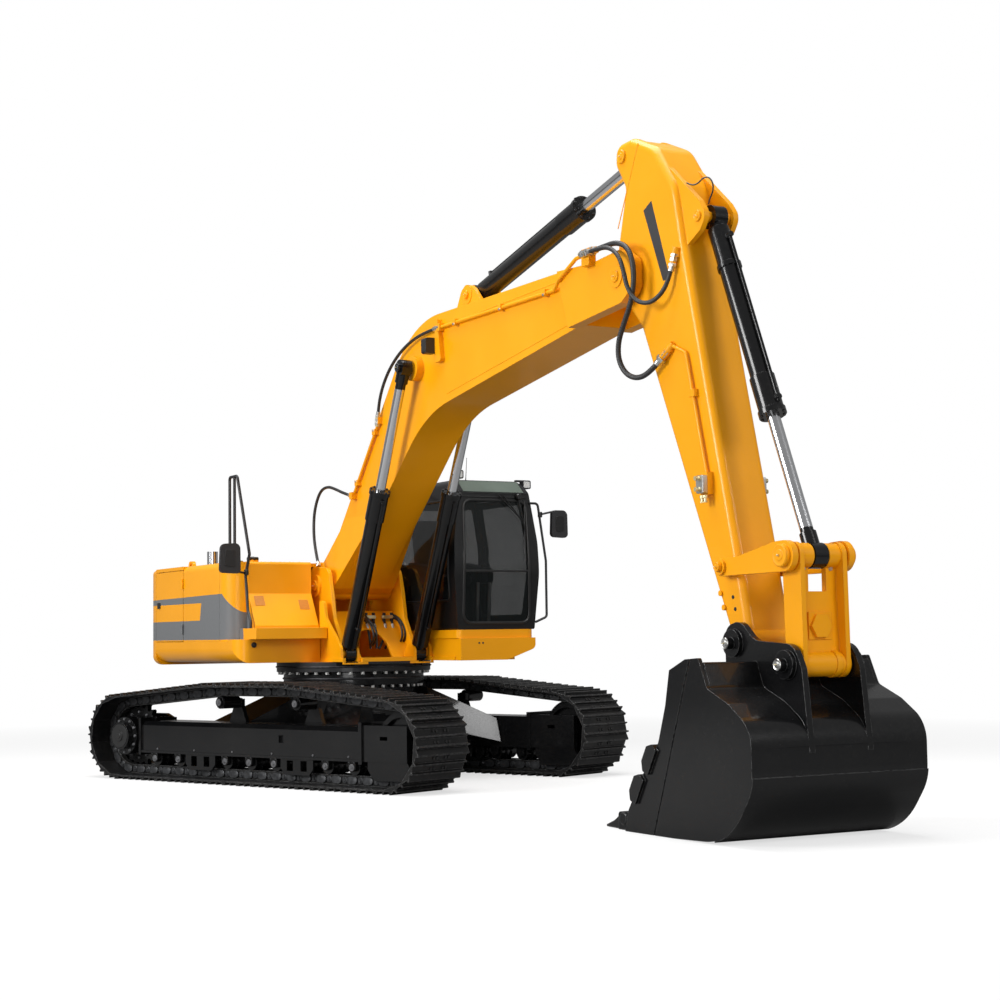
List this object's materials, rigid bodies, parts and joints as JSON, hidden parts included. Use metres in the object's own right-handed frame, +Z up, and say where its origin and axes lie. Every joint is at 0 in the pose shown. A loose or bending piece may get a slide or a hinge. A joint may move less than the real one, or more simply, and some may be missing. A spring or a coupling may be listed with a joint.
{
  "type": "crawler excavator",
  "caption": "Crawler excavator: slewing house with cab, cranked boom, arm and digging bucket on shoe tracks, its cylinders and links following the moving equipment.",
  "frame": {"origin": "on the ground, under the slewing axis", "axes": "+X the way the cab and the boom face, +Y to the cab's side, +Z up"},
  "size_m": [11.4649, 4.8932, 5.6214],
  "materials": {
    "paint_yellow": "gloss",
    "paint_black": "satin",
    "track_steel": "worn satin",
    "engine_grey": "matt",
    "cab_grey": "satin",
    "cab_glass": "clear",
    "seat_cloth": "woven",
    "cab_plastic": "matt",
    "rail_black": "satin",
    "lamp_black": "gloss",
    "exhaust_steel": "satin",
    "bucket_grey": "worn satin",
    "tooth_steel": "satin",
    "rod_chrome": "polished",
    "hose_rubber": "satin"
  },
  "bodies": {
    "undercarriage": {"carbody": "paint_black", "track_frame_left": "paint_black", "track_frame_right": "paint_black", "track_left": "track_steel", "track_right": "track_steel", "sprockets": "paint_black", "idlers": "paint_black", "lower_rollers": "paint_black", "carrier_rollers": "paint_black"},
    "upper": {"deck": "paint_yellow", "counterweight": "paint_yellow", "tank": "paint_yellow", "toolbox": "paint_yellow", "house_frame": "paint_yellow", "engine_block": "engine_grey", "cab_shell": "cab_grey", "cab_glass": "cab_glass", "cab_plinth": "paint_yellow", "operator_seat": "seat_cloth", "cab_controls": "cab_plastic", "handrail": "rail_black", "cab_grab_rail": "rail_black", "cab_lamps": "lamp_black", "exhaust_stub": "exhaust_steel"},
    "hood": {"engine_hood": "paint_yellow"},
    "pump_door_leaf": {"pump_door": "paint_yellow"},
    "left_rear_leaf": {"left_rear_door": "paint_yellow"},
    "left_front_leaf": {"left_front_door": "paint_yellow"},
    "cab_door_leaf": {"cab_door": "cab_grey", "cab_door_glass": "cab_glass"},
    "boom_body": {"boom": "paint_yellow", "boom_hoses": "hose_rubber", "boom_lamp": "lamp_black"},
    "arm_body": {"arm": "paint_yellow", "arm_hoses": "hose_rubber"},
    "bucket_body": {"bucket": "bucket_grey", "bucket_teeth": "tooth_steel"},
    "boom_barrels": {"boom_cylinder_barrels": "paint_black"},
    "boom_rods": {"boom_cylinder_rods": "rod_chrome"},
    "arm_barrel": {"arm_cylinder_barrel": "paint_black"},
    "arm_rod": {"arm_cylinder_rod": "rod_chrome"},
    "bucket_barrel": {"bucket_cylinder_barrel": "paint_black"},
    "bucket_rod": {"bucket_cylinder_rod": "rod_chrome"},
    "tipping_pair": {"tipping_links": "paint_yellow"},
    "h_link": {"bucket_link": "paint_yellow"}
  },
  "joints": [
    {"name": "slew", "type": "hinge", "parent": "undercarriage", "child": "upper", "pos_m": [0, 0, 1.139], "axis": [0, 0, 1], "continuous": true},
    {"name": "boom", "type": "hinge", "parent": "upper", "child": "boom_body", "pos_m": [0.02, 0, 2.07], "axis": [0, -1, 0], "range_deg": [-60, 30], "deforming": ["boom_hoses"]},
    {"name": "arm", "type": "hinge", "parent": "boom_body", "child": "arm_body", "pos_m": [5.93, 0, 4.445], "axis": [0, 1, 0], "range_deg": [-38, 60], "deforming": ["arm_hoses"]},
    {"name": "bucket", "type": "hinge", "parent": "arm_body", "child": "bucket_body", "pos_m": [7.4, 0, 1.42], "axis": [0, 1, 0], "range_deg": [-75, 60]},
    {"name": "boom_cylinder_swing", "type": "hinge", "parent": "upper", "child": "boom_barrels", "pos_m": [0.76, 0, 1.335], "axis": [0, -1, 0], "range_deg": [-60, 31]},
    {"name": "boom_cylinder_stroke", "type": "slide", "parent": "boom_barrels", "child": "boom_rods", "axis": [0.4377, 0, 0.8991], "range_m": [-1.02, 0.52]},
    {"name": "arm_cylinder_swing", "type": "hinge", "parent": "boom_body", "child": "arm_barrel", "pos_m": [2.99, 0, 4.8], "axis": [0, 1, 0], "range_deg": [-4, 6.5]},
    {"name": "arm_cylinder_stroke", "type": "slide", "parent": "arm_barrel", "child": "arm_rod", "axis": [0.9731, 0, 0.2306], "range_m": [-0.61, 0.96]},
    {"name": "bucket_cylinder_swing", "type": "hinge", "parent": "arm_body", "child": "bucket_barrel", "pos_m": [6.875, 0, 4.775], "axis": [0, 1, 0], "range_deg": [-1.3, 1.1]},
    {"name": "bucket_cylinder_stroke", "type": "slide", "parent": "bucket_barrel", "child": "bucket_rod", "axis": [0.3825, 0, -0.924], "range_m": [-0.71, 0.57]},
    {"name": "tipping_link_swing", "type": "hinge", "parent": "arm_body", "child": "tipping_pair", "pos_m": [7.245, 0, 1.997], "axis": [0, 1, 0], "range_deg": [-63, 51]},
    {"name": "bucket_link_swing", "type": "hinge", "parent": "bucket_body", "child": "h_link", "pos_m": [8.026, 0, 1.265], "axis": [0, 1, 0], "range_deg": [-44, 55]},
    {"name": "cab_door", "type": "hinge", "parent": "upper", "child": "cab_door_leaf", "pos_m": [0.22, 1.556, 2.3], "axis": [0, 0, 1], "range_deg": [0, 160]},
    {"name": "pump_door", "type": "hinge", "parent": "upper", "child": "pump_door_leaf", "pos_m": [-1.311, -1.504, 1.9], "axis": [0, 0, 1], "range_deg": [0, 100]},
    {"name": "left_front_door", "type": "hinge", "parent": "upper", "child": "left_front_leaf", "pos_m": [-1.308, 1.504, 1.9], "axis": [0, 0, 1], "range_deg": [0, 100]},
    {"name": "left_rear_door", "type": "hinge", "parent": "upper", "child": "left_rear_leaf", "pos_m": [-2.237, 1.504, 1.9], "axis": [0, 0, 1], "range_deg": [0, 100]},
    {"name": "engine_hood", "type": "hinge", "parent": "upper", "child": "hood", "pos_m": [-0.7, 0, 2.339], "axis": [0, 1, 0], "range_deg": [0, 70]}
  ],
  "couplings": [
    {"joint": "boom_cylinder_swing", "follows": "boom", "ratio": 0.975},
    {"joint": "boom_cylinder_stroke", "follows": "boom", "m_per_rad": 0.95},
    {"joint": "arm_cylinder_swing", "follows": "arm", "ratio": 0.1},
    {"joint": "arm_cylinder_stroke", "follows": "arm", "m_per_rad": 0.9},
    {"joint": "bucket_cylinder_swing", "follows": "bucket", "ratio": 0.015},
    {"joint": "bucket_cylinder_stroke", "follows": "bucket", "m_per_rad": 0.53},
    {"joint": "tipping_link_swing", "follows": "bucket", "ratio": 0.82},
    {"joint": "bucket_link_swing", "follows": "bucket", "ratio": -0.71}
  ]
}
